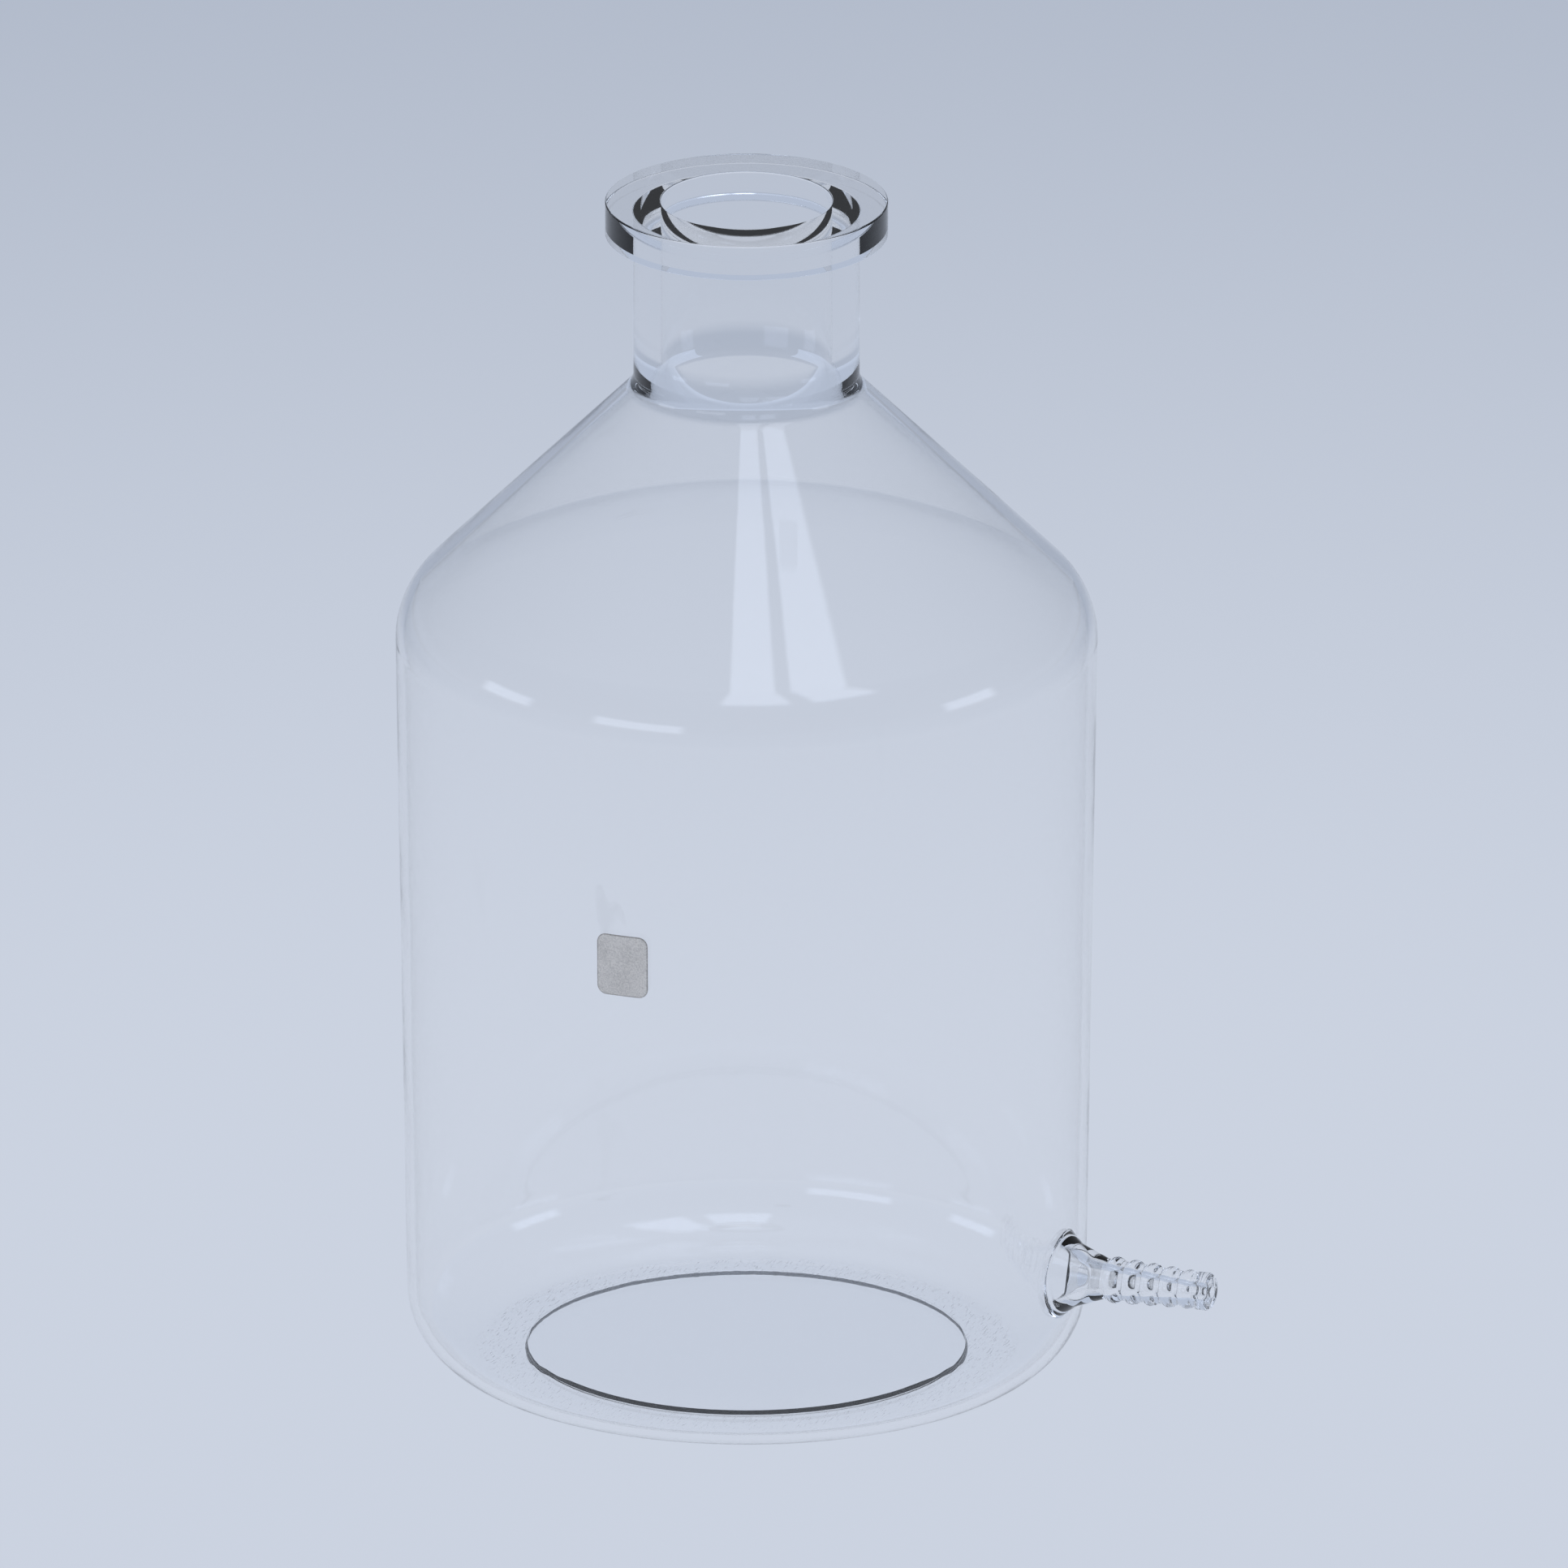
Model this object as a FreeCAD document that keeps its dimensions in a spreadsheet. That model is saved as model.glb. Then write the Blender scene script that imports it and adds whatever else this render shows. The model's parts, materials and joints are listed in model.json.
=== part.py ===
import FreeCAD, Part
import Sketcher
import os

# Five-litre laboratory aspirator bottle in clear glass, with a beaded hose outlet at its foot.
# Millimetres, +Z up. The origin is the centre of the ring that the bottle stands on.
# The outlet points along +X and the printed marking spot faces -Y.

SIZES = [
    ("body_radius", 91.14, "outer radius at the unrounded shoulder corner"),
    ("body_height", 205.4, "height of the unrounded shoulder corner"),
    ("wall_taper", 3.48, "how much slimmer the outer radius is at the foot than at the shoulder"),
    ("wall", 2.4, "glass thickness of the wall and the shoulder"),
    ("floor_thickness", 2.4, "of the floor, at the standing ring and in the sunk middle alike"),
    ("heel_rounding", 20.0, "outer rounding between the foot and the wall"),
    ("foot_ring_width", 10.7, "flat ring that the bottle stands on"),
    ("recess_depth", 1.2, "how far the middle of the underside is sunk"),
    ("shoulder_slope", 45.0, "degrees between the shoulder and the horizontal"),
    ("shoulder_rounding", 21.1, "outer rounding between the wall and the shoulder"),
    ("neck_radius", 29.35, "outer radius of the neck"),
    ("neck_height", 49.6, "from the unrounded foot of the neck to the mouth"),
    ("neck_foot_rounding", 6.8, "outer hollow rounding at the foot of the neck"),
    ("bore_radius", 22.2, "inner radius of the neck, which takes the stopper"),
    ("bore_foot_rounding", 15.0, "inner rounding where the bore opens into the shoulder"),
    ("neck_seam_margin", 3.0, "from the roundings at the neck's foot down to its seal"),
    ("flange_width", 7.35, "how far the rim stands out from the neck"),
    ("flange_thickness", 9.25, "thickness of the rim"),
    ("flange_seam_drop", 3.0, "length of neck that is drawn with the rim"),
    ("flange_rounding", 0.4, "fire-polished edges of the rim"),
    ("outlet_height", 33.1, "height of the outlet's axis"),
    ("root_bite", 1.2, "how far the root cone starts inside the wall's face"),
    ("root_radius", 12.3, "outer radius of the root cone where it starts"),
    ("seal_margin", 0.4, "how much wider than the root cone the sealed hole is"),
    ("root_length", 3.5, "from the wall's face to the end of the root cone"),
    ("root_end_radius", 8.4, "outer radius at the end of the root cone"),
    ("boss_length", 11.7, "from the wall's face to the start of the hose tail"),
    ("tail_root_radius", 5.3, "radius of the hose tail's core where it starts"),
    ("tail_end_radius", 4.4, "radius of the hose tail's core at the tip"),
    ("mouth_passage_radius", 7.6, "liquid passage at the inside of the wall"),
    ("throat_reach", 5.8, "from the wall's face to the throat of the passage"),
    ("throat_radius", 3.7, "liquid passage at its throat"),
    ("tail_passage_radius", 2.9, "liquid passage at the start of the hose tail"),
    ("tip_bore_radius", 1.5, "liquid passage at the tip"),
    ("tip_bore_length", 6.0, "straight stretch of the passage at the tip"),
    ("bead_lead", 2.8, "from the start of the hose tail to its first bead"),
    ("bead_pitch", 5.05, "distance from bead to bead"),
    ("bead_radius", 6.1, "outer radius of the first bead"),
    ("bead_step", 0.24, "how much smaller each bead is than the one before"),
    ("bead_curve", 2.4, "radius of a bead's own rounding"),
    ("tip_gap", 2.3, "from the last bead to the start of the tip"),
    ("tip_radius", 4.96, "outer radius of the tip"),
    ("tip_length", 4.1, "length of the tip"),
    ("tip_rounding", 1.5, "rounding of the tip's edges"),
    ("spot_width", 14.0, "width of the printed marking spot"),
    ("spot_tall", 16.7, "height of the printed marking spot"),
    ("spot_height", 136.0, "height of the spot's centre"),
    ("spot_rounding", 2.5, "corner rounding of the spot"),
    ("spot_thickness", 0.2, "thickness of the fired enamel"),
]
BEAD_COUNT = 5

# A helper form runs this far past the surface that it cuts or is trimmed by.
OVERRUN = 6.0

# Sizes that follow from the driving ones, as expressions.
FOOT_RADIUS = "(size.body_radius - size.wall_taper)"
LEAN = f"((size.body_radius - {FOOT_RADIUS}) / size.body_height)"
SLOPE = "tan(size.shoulder_slope)"
NECK_FOOT = f"(size.body_height + (size.body_radius - size.neck_radius) * {SLOPE})"
MOUTH = f"({NECK_FOOT} + size.neck_height)"
FLANGE_FOOT = f"({MOUTH} - size.flange_thickness)"
FLANGE_SEAM = f"({FLANGE_FOOT} - size.flange_seam_drop)"
FLANGE_RADIUS = "(size.neck_radius + size.flange_width)"
RECESS_RADIUS = f"({FOOT_RADIUS} - size.heel_rounding - size.foot_ring_width)"

# The shoulder's inner face lies one wall thickness inside its outer face.
SHOULDER_INSET = "(size.wall / sin(size.shoulder_slope))"
INNER_CORNER = (
    f"((size.body_radius - {SHOULDER_INSET} + size.body_height / {SLOPE}"
    f" - {FOOT_RADIUS} + size.wall) / ({LEAN} + 1 / {SLOPE}))"
)
BORE_FOOT = f"({NECK_FOOT} + (size.neck_radius - {SHOULDER_INSET} - size.bore_radius) * {SLOPE})"

# The neck is sealed to the shoulder just below the lower end of its two foot roundings.
FOOT_TURN = "(tan(size.shoulder_slope / 2) * sin(size.shoulder_slope))"
NECK_SEAM = (
    f"(min({NECK_FOOT} - size.neck_foot_rounding * {FOOT_TURN};"
    f" {BORE_FOOT} - size.bore_foot_rounding * {FOOT_TURN}) - size.neck_seam_margin)"
)

# Stations along the outlet, from the bottle's axis.
WALL_FACE = f"({FOOT_RADIUS} + {LEAN} * size.outlet_height)"
TAIL_START = f"({WALL_FACE} + size.boss_length)"
TIP_START = (
    f"({TAIL_START} + size.bead_lead + {BEAD_COUNT - 1} * size.bead_pitch + size.tip_gap)"
)
TIP_END = f"({TIP_START} + size.tip_length)"

doc = FreeCAD.newDocument("aspirator_bottle")


def outer_wall(up):
    """Outer radius of the leaning wall at a height."""
    return f"({FOOT_RADIUS} + {LEAN} * {up})"


def inner_wall(up):
    """Inner radius of the leaning wall at a height."""
    return f"({outer_wall(up)} - size.wall)"


def outer_shoulder(up):
    """Outer radius of the shoulder cone at a height."""
    return f"(size.neck_radius + ({NECK_FOOT} - {up}) / {SLOPE})"


def inner_shoulder(up):
    """Inner radius of the shoulder cone at a height."""
    return f"({outer_shoulder(up)} - {SHOULDER_INSET})"


def add_sheet():
    """The spreadsheet of driving dimensions: a note, a number and its alias in each row."""
    sheet = doc.addObject("Spreadsheet::Sheet", "size")
    for row, (alias, value, note) in enumerate(SIZES, start=1):
        sheet.set(f"A{row}", note)
        sheet.set(f"B{row}", str(value))
        sheet.setAlias(f"B{row}", alias)
    doc.recompute()


def add_outline(body, corners):
    """A closed outline of straight lines in the body's XZ plane; a corner is two expressions."""
    sketch = body.newObject("Sketcher::SketchObject", f"{body.Name}_outline")
    planes = body.Origin.OriginFeatures
    sketch.AttachmentSupport = [(next(p for p in planes if p.Role == "XZ_Plane"), "")]
    sketch.MapMode = "FlatFace"
    places = [[float(sketch.evalExpression(text)) for text in corner] for corner in corners]
    following = [(i + 1) % len(corners) for i in range(len(corners))]
    for start, end in zip(places, [places[i] for i in following]):
        line = Part.LineSegment(FreeCAD.Vector(*start, 0), FreeCAD.Vector(*end, 0))
        sketch.addGeometry(line, False)
    for i, after in enumerate(following):
        sketch.addConstraint(Sketcher.Constraint("Coincident", i, 2, after, 1))
    for i, corner in enumerate(corners):
        for kind, place, expression in zip(("DistanceX", "DistanceY"), places[i], corner):
            constraint = Sketcher.Constraint(kind, -1, 1, i, 1, place)
            index = sketch.addConstraint(constraint)
            sketch.setExpression(f"Constraints[{index}]", expression)
    return sketch


def add_turned(name, corners, axis="V_Axis"):
    """A body turned round an axis of its outline: V_Axis stands upright, H_Axis lies along X."""
    body = doc.addObject("PartDesign::Body", name)
    turning = body.newObject("PartDesign::Revolution", f"{name}_turned")
    turning.Profile = add_outline(body, corners)
    turning.ReferenceAxis = (turning.Profile[0], [axis])
    turning.Angle = 360
    body.Tip = turning
    doc.recompute()
    return body


def add_tail_turned(name, corners):
    """A body turned round the outlet's axis."""
    body = add_turned(name, corners, "H_Axis")
    body.setExpression("Placement.Base.z", "size.outlet_height")
    doc.recompute()
    return body


def ring_edges(feature, rings):
    """Names of a turned feature's ring edges; a ring is its radius and its place on the axis."""
    wanted = [[float(feature.evalExpression(text)) for text in ring] for ring in rings]
    names = []
    for number, edge in enumerate(feature.Shape.Edges, start=1):
        if not isinstance(edge.Curve, Part.Circle):
            continue
        centre = edge.Curve.Center
        along = centre.z if abs(edge.Curve.Axis.z) > 0.5 else centre.x
        if any(abs(edge.Curve.Radius - r) + abs(along - at) < 1e-3 for r, at in wanted):
            names.append(f"Edge{number}")
    return names


def round_rings(body, radius, *rings):
    """Round ring edges of a turned body to a radius given as an expression."""
    base = body.Tip
    rounding = body.newObject("PartDesign::Fillet", f"{base.Name}_rounded")
    rounding.Base = (base, ring_edges(base, rings))
    rounding.setExpression("Radius", radius)
    body.Tip = rounding
    doc.recompute()


def add_boolean(kind, name, first, second):
    """A Part::Cut, Part::Common or Part::Fuse of two objects."""
    result = doc.addObject(kind, name)
    result.Base = first
    result.Tool = second
    doc.recompute()
    return result


def add_hull_form():
    """The body's outer form, filled: sunk underside, standing ring, wall and shoulder."""
    shoulder_corner = ("size.body_radius", "size.body_height")
    form = add_turned("hull_form", [
        ("0", "size.recess_depth"),
        (RECESS_RADIUS, "size.recess_depth"),
        (RECESS_RADIUS, "0"),
        (FOOT_RADIUS, "0"),
        shoulder_corner,
        (outer_shoulder(NECK_SEAM), NECK_SEAM),
        ("0", NECK_SEAM),
    ])
    round_rings(form, "size.heel_rounding", (FOOT_RADIUS, "0"))
    round_rings(form, "size.shoulder_rounding", shoulder_corner)
    return form


def add_hollow_form():
    """The space inside the body, which runs on a little past the seam with the neck."""
    top = f"({NECK_SEAM} + size.neck_seam_margin)"
    inner_foot = (inner_wall("size.floor_thickness"), "size.floor_thickness")
    inner_corner = (inner_wall(INNER_CORNER), INNER_CORNER)
    form = add_turned("hollow_form", [
        ("0", "size.floor_thickness + size.recess_depth"),
        (RECESS_RADIUS, "size.floor_thickness + size.recess_depth"),
        (RECESS_RADIUS, "size.floor_thickness"),
        inner_foot,
        inner_corner,
        (inner_shoulder(top), top),
        ("0", top),
    ])
    round_rings(form, "size.heel_rounding - size.wall", inner_foot)
    round_rings(form, "size.shoulder_rounding - size.wall", inner_corner)
    return form


def add_neck():
    """The heavy neck tube, with hollow roundings where it opens into the shoulder."""
    outer_foot = ("size.neck_radius", NECK_FOOT)
    inner_foot = ("size.bore_radius", BORE_FOOT)
    neck = add_turned("neck_tube", [
        (inner_shoulder(NECK_SEAM), NECK_SEAM),
        (outer_shoulder(NECK_SEAM), NECK_SEAM),
        outer_foot,
        ("size.neck_radius", FLANGE_SEAM),
        ("size.bore_radius", FLANGE_SEAM),
        inner_foot,
    ])
    round_rings(neck, "size.neck_foot_rounding", outer_foot)
    round_rings(neck, "size.bore_foot_rounding", inner_foot)
    return neck


def add_rim():
    """The flat tooled rim with the short length of neck that carries it."""
    rim = add_turned("rim_flange", [
        ("size.bore_radius", FLANGE_SEAM),
        ("size.neck_radius", FLANGE_SEAM),
        ("size.neck_radius", FLANGE_FOOT),
        (FLANGE_RADIUS, FLANGE_FOOT),
        (FLANGE_RADIUS, MOUTH),
        ("size.bore_radius", MOUTH),
    ])
    edges = [
        ("size.neck_radius", FLANGE_FOOT),
        (FLANGE_RADIUS, FLANGE_FOOT),
        (FLANGE_RADIUS, MOUTH),
        ("size.bore_radius", MOUTH),
    ]
    round_rings(rim, "size.flange_rounding", *edges)
    return rim


def add_seal_cutter():
    """A cylinder along the outlet, as wide as the hole in the wall that the outlet seals."""
    cutter = doc.addObject("Part::Cylinder", "seal_cutter")
    cutter.Placement = FreeCAD.Placement(
        FreeCAD.Vector(0, 0, 0), FreeCAD.Rotation(FreeCAD.Vector(0, 1, 0), 90)
    )
    cutter.setExpression("Radius", "size.root_radius + size.seal_margin")
    cutter.setExpression("Height", f"2 * {OVERRUN} + size.wall")
    cutter.setExpression("Placement.Base.x", f"{WALL_FACE} - size.wall - {OVERRUN}")
    cutter.setExpression("Placement.Base.z", "size.outlet_height")
    doc.recompute()
    return cutter


def add_passage():
    """The liquid passage: wide at the wall, a throat, then a taper to the straight tip bore."""
    inside = f"({WALL_FACE} - size.wall - {OVERRUN})"
    straight = f"({TIP_END} - size.tip_bore_length)"
    return add_tail_turned("passage_form", [
        (inside, "0"),
        (inside, "size.mouth_passage_radius"),
        (f"({WALL_FACE} - size.wall)", "size.mouth_passage_radius"),
        (f"({WALL_FACE} + size.throat_reach)", "size.throat_radius"),
        (TAIL_START, "size.tail_passage_radius"),
        (straight, "size.tip_bore_radius"),
        (f"({TIP_END} + {OVERRUN})", "size.tip_bore_radius"),
        (f"({TIP_END} + {OVERRUN})", "0"),
    ])


def add_boss(shell, hollow, cutter, passage):
    """The flared outlet root: a plug of the wall and a double cone, with the passage through."""
    inside = f"({WALL_FACE} - size.wall - {OVERRUN})"
    cones = add_tail_turned("boss_cones", [
        (inside, "0"),
        (inside, "size.root_radius"),
        (f"({WALL_FACE} - size.root_bite)", "size.root_radius"),
        (f"({WALL_FACE} + size.root_length)", "size.root_end_radius"),
        (TAIL_START, "size.tail_root_radius"),
        (TAIL_START, "0"),
    ])
    plug = add_boolean("Part::Common", "boss_plug", shell, cutter)
    trimmed = add_boolean("Part::Cut", "boss_trimmed", cones, hollow)
    blank = add_boolean("Part::Fuse", "boss_blank", plug, trimmed)
    return add_boolean("Part::Cut", "outlet_boss", blank, passage)


def add_bead(number):
    """One bead of the hose tail: a torus round the outlet's axis."""
    bead = doc.addObject("Part::Torus", f"bead_{number + 1}")
    bead.Placement = FreeCAD.Placement(
        FreeCAD.Vector(0, 0, 0), FreeCAD.Rotation(FreeCAD.Vector(0, 1, 0), 90)
    )
    place = f"{TAIL_START} + size.bead_lead + {number} * size.bead_pitch"
    outer = f"size.bead_radius - {number} * size.bead_step"
    bead.setExpression("Radius1", f"{outer} - size.bead_curve")
    bead.setExpression("Radius2", "size.bead_curve")
    bead.setExpression("Placement.Base.x", place)
    bead.setExpression("Placement.Base.z", "size.outlet_height")
    doc.recompute()
    return bead


def add_hose_tail(passage):
    """The beaded hose tail: a tapering core, its beads, a rounded tip and the passage."""
    core = add_tail_turned("tail_core", [
        (TAIL_START, "0"),
        (TAIL_START, "size.tail_root_radius"),
        (TIP_START, "size.tail_end_radius"),
        (TIP_START, "size.tip_radius"),
        (TIP_END, "size.tip_radius"),
        (TIP_END, "0"),
    ])
    round_rings(
        core, "size.tip_rounding", ("size.tip_radius", TIP_END)
    )
    blank = core
    for number in range(BEAD_COUNT):
        blank = add_boolean("Part::Fuse", f"tail_blank_{number + 1}", blank, add_bead(number))
    return add_boolean("Part::Cut", "hose_tail", blank, passage)


def add_marking_spot():
    """A thin rounded rectangle of fired enamel that follows the wall."""
    low = "(size.spot_height - size.spot_tall)"
    high = "(size.spot_height + size.spot_tall)"
    skin = add_turned("enamel_skin", [
        (outer_wall(low), low),
        (f"({outer_wall(low)} + size.spot_thickness)", low),
        (f"({outer_wall(high)} + size.spot_thickness)", high),
        (outer_wall(high), high),
    ])
    stencil = doc.addObject("Part::Box", "stencil_block")
    stencil.setExpression("Length", "size.spot_width")
    stencil.setExpression("Width", f"size.body_radius + {OVERRUN}")
    stencil.setExpression("Height", "size.spot_tall")
    stencil.setExpression("Placement.Base.x", "-size.spot_width / 2")
    stencil.setExpression("Placement.Base.y", f"-size.body_radius - {OVERRUN}")
    stencil.setExpression("Placement.Base.z", "size.spot_height - size.spot_tall / 2")
    doc.recompute()
    rounded = doc.addObject("Part::Fillet", "stencil")
    rounded.Base = stencil
    radius = float(stencil.evalExpression("size.spot_rounding"))
    rounded.Edges = [
        (number, radius, radius)
        for number, edge in enumerate(stencil.Shape.Edges, start=1)
        if abs(edge.tangentAt(edge.FirstParameter).y) > 0.5
    ]
    doc.recompute()
    return add_boolean("Part::Common", "marking_spot", skin, rounded)


def build():
    """All the pieces of the bottle, as document objects labelled with their node names."""
    add_sheet()
    hull = add_hull_form()
    hollow = add_hollow_form()
    shell = add_boolean("Part::Cut", "shell", hull, hollow)
    cutter = add_seal_cutter()
    passage = add_passage()
    return [
        add_boolean("Part::Cut", "bottle_body", shell, cutter),
        add_neck(),
        add_rim(),
        add_boss(shell, hollow, cutter, passage),
        add_hose_tail(passage),
        add_marking_spot(),
    ]


def check(pieces):
    """Stop if an object failed, or if a piece is not one valid solid."""
    failed = [o.Name for o in doc.Objects if "Invalid" in o.State or "Error" in o.State]
    if failed:
        raise RuntimeError(f"these objects failed: {failed}")
    for piece in pieces:
        shape = piece.Shape
        if shape.isNull() or not shape.isValid() or len(shape.Solids) != 1:
            raise RuntimeError(f"{piece.Label} is not one valid solid")


pieces = build()
doc.recompute()
check(pieces)
os.makedirs("parts", exist_ok=True)
for piece in pieces:
    piece.Shape.exportStep(f"parts/{piece.Label}.step")
    box = piece.Shape.BoundBox
    print(f"{piece.Label}: {piece.Shape.Volume:.1f} mm3, z {box.ZMin:.2f} to {box.ZMax:.2f}")
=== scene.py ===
import json
from math import asin, atan2, cos, pi, radians, sin, tan

import bpy
import numpy as np
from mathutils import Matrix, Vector


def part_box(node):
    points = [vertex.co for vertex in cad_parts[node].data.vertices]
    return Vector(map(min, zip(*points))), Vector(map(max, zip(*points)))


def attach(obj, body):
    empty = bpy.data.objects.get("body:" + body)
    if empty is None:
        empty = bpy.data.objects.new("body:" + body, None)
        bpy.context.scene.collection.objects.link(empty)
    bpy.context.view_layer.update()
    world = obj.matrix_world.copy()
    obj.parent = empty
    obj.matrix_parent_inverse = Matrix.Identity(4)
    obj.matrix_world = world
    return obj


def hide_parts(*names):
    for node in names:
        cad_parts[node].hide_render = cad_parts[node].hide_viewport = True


# A five-litre aspirator bottle of clear glass: blown body, heavy neck, tooled rim, flared outlet
# root and beaded hose tail, fused into one vessel, with a fired enamel marking spot.
# Metres throughout; the outlet points along +X and the marking spot faces -Y.

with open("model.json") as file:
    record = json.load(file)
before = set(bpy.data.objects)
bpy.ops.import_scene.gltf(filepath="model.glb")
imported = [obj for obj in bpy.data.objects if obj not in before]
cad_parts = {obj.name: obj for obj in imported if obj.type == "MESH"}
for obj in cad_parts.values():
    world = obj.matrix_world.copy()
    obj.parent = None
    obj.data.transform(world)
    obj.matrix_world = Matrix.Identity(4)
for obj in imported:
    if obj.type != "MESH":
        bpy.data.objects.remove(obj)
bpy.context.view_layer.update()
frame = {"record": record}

MM = 0.001
MOUNTS = {mount["name"]: mount for mount in frame["record"]["mounts"]}

# Sizes of the design that the frame's boxes don't hold.
WALL = 2.4 * MM
FLOOR_THICKNESS = 2.4 * MM
HEEL_ROUNDING = 20.0 * MM
FOOT_RING_WIDTH = 10.7 * MM
RECESS_DEPTH = 1.2 * MM
WALL_TAPER = 3.48 * MM
BODY_RADIUS = 91.14 * MM
BODY_HEIGHT = 205.4 * MM
SHOULDER_SLOPE = radians(45)
SHOULDER_ROUNDING = 21.1 * MM
NECK_RADIUS = 29.35 * MM
NECK_FOOT_ROUNDING = 6.8 * MM
BORE_FOOT_ROUNDING = 15.0 * MM
FLANGE_THICKNESS = 9.25 * MM
FLANGE_ROUNDING = 0.4 * MM
ROOT_BITE = 1.2 * MM
ROOT_RADIUS = 12.3 * MM
SEAL_MARGIN = 0.4 * MM
ROOT_LENGTH = 3.5 * MM
ROOT_END_RADIUS = 8.4 * MM
TAIL_ROOT_RADIUS = 5.3 * MM
TAIL_END_RADIUS = 4.4 * MM
MOUTH_PASSAGE_RADIUS = 7.6 * MM
THROAT_REACH = 5.8 * MM
THROAT_RADIUS = 3.7 * MM
TAIL_PASSAGE_RADIUS = 2.9 * MM
TIP_BORE_RADIUS = 1.5 * MM
TIP_BORE_LENGTH = 6.0 * MM
BEAD_COUNT = 5
BEAD_LEAD = 2.8 * MM
BEAD_PITCH = 5.05 * MM
BEAD_RADIUS = 6.1 * MM
BEAD_STEP = 0.24 * MM
BEAD_CURVE = 2.4 * MM
TIP_GAP = 2.3 * MM
TIP_RADIUS = 4.96 * MM
TIP_ROUNDING = 1.5 * MM
SPOT_WIDTH = 14.0 * MM
SPOT_TALL = 16.7 * MM
SPOT_HEIGHT = 136.0 * MM
SPOT_ROUNDING = 2.5 * MM
SPOT_THICKNESS = 0.2 * MM

# Flame-softened edges, which only the visual model has.
EDGE_ROUNDING = 0.35 * MM
CREASE_REACH = 0.55 * MM
MOUTH_LIP = 1.0 * MM
ROOT_END_ROUNDING = 3.0 * MM
ROOT_END_MARGIN = 0.9 * MM
THROAT_ROUNDING = 8.0 * MM
BEAD_MELT = 0.07 * MM
TIP_STEP = 0.25 * MM
SPOT_SINK = 0.05 * MM

# Places that the frame gives.
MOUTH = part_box("rim_flange")[1].z
FLANGE_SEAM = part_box("rim_flange")[0].z
FLANGE_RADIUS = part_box("rim_flange")[1].x
NECK_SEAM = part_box("neck_tube")[0].z
BORE_RADIUS = MOUNTS["mouth_bore"]["dims"]["r_mm"] * MM
OUTLET_HEIGHT = MOUNTS["hose_tail"]["pos_m"][2]
TAIL_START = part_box("hose_tail")[0].x
TIP_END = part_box("hose_tail")[1].x

# Sizes that follow from the others.
FOOT_RADIUS = BODY_RADIUS - WALL_TAPER
LEAN = WALL_TAPER / BODY_HEIGHT
LEAN_ANGLE = atan2(WALL_TAPER, BODY_HEIGHT)
SLOPE = tan(SHOULDER_SLOPE)
SHOULDER_INSET = WALL / sin(SHOULDER_SLOPE)
NECK_FOOT = BODY_HEIGHT + (BODY_RADIUS - NECK_RADIUS) * SLOPE
BORE_FOOT = NECK_FOOT + (NECK_RADIUS - SHOULDER_INSET - BORE_RADIUS) * SLOPE
WALL_FACE = FOOT_RADIUS + LEAN * OUTLET_HEIGHT
SEAL_RADIUS = ROOT_RADIUS + SEAL_MARGIN
TIP_START = TAIL_START + BEAD_LEAD + (BEAD_COUNT - 1) * BEAD_PITCH + TIP_GAP

# Fineness of the surfaces: columns round the bottle, angle per row of an arc, half the columns
# of the window in the wall that the outlet is worked into, and the longest rows of straight
# runs. The window has as many rows as columns, so its rim and everything round the outlet have
# four times that many points.
TURNS = 320
ARC_STEP = radians(4.5)
WINDOW_HALF = 10
WINDOW_REACH = 17.8 * MM
WINDOW_RINGS = 10
OUTLET_TURNS = 8 * WINDOW_HALF
TAIL_ROWS = 150
SPOT_TURNS = 96
LINE_STEP = 3 * MM
OUTLINE_STEP = 6 * MM
OUTLET_STEP = 1 * MM
WELD_REACH = 0.5 * MM * MM  # points nearer than this are one point


# ---------------------------------------------------------------- surfaces


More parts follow.
